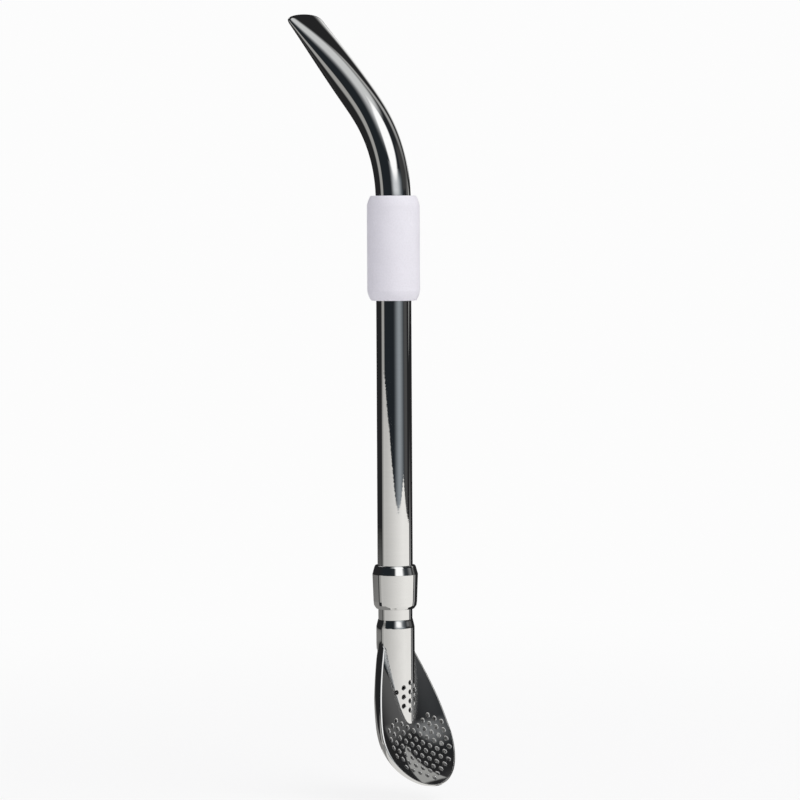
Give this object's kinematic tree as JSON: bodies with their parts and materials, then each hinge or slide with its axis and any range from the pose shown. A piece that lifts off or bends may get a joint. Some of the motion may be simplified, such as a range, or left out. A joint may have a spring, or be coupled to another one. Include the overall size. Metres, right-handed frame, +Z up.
{
  "type": "bombilla drinking straw",
  "caption": "Steel mate straw with a bent flattened mouthpiece, a sliding silicone grip and a screw-off perforated spoon filter.",
  "frame": {"origin": "on the stem axis, at the top face of the screw collar", "axes": "+Z up the straight stem towards the mouthpiece, +X the way the perforated face of the spoon looks; the mouthpiece bends towards -X and Y = 0 is the mirror plane"},
  "size_m": [0.0414, 0.0232, 0.1753],
  "materials": {
    "steel": "polished stainless steel",
    "silicone": "matte off-white silicone",
    "seal": "translucent silicone"
  },
  "bodies": {
    "stem": {"stem_tube": "steel", "thread_bush": "steel"},
    "grip": {"grip_sleeve": "silicone"},
    "seal": {"seal_washer": "seal"},
    "filter": {"collar": "steel", "neck_tube": "steel", "spoon_front": "steel", "spoon_back": "steel"}
  },
  "joints": [
    {"name": "grip_slide", "type": "slide", "parent": "stem", "child": "grip", "axis": [0, 0, -1], "range_m": [0, 0.0597]},
    {"name": "filter_travel", "type": "slide", "parent": "stem", "child": "seal", "axis": [0, 0, -1], "range_m": [0, 0.00401]},
    {"name": "filter_turn", "type": "hinge", "parent": "seal", "child": "filter", "pos_m": [0, 0, 0], "axis": [0, 0, -1], "range_deg": [0, 1440]}
  ],
  "couplings": [
    {"joint": "filter_travel", "follows": "filter_turn", "m_per_rad": 0.00015915}
  ]
}
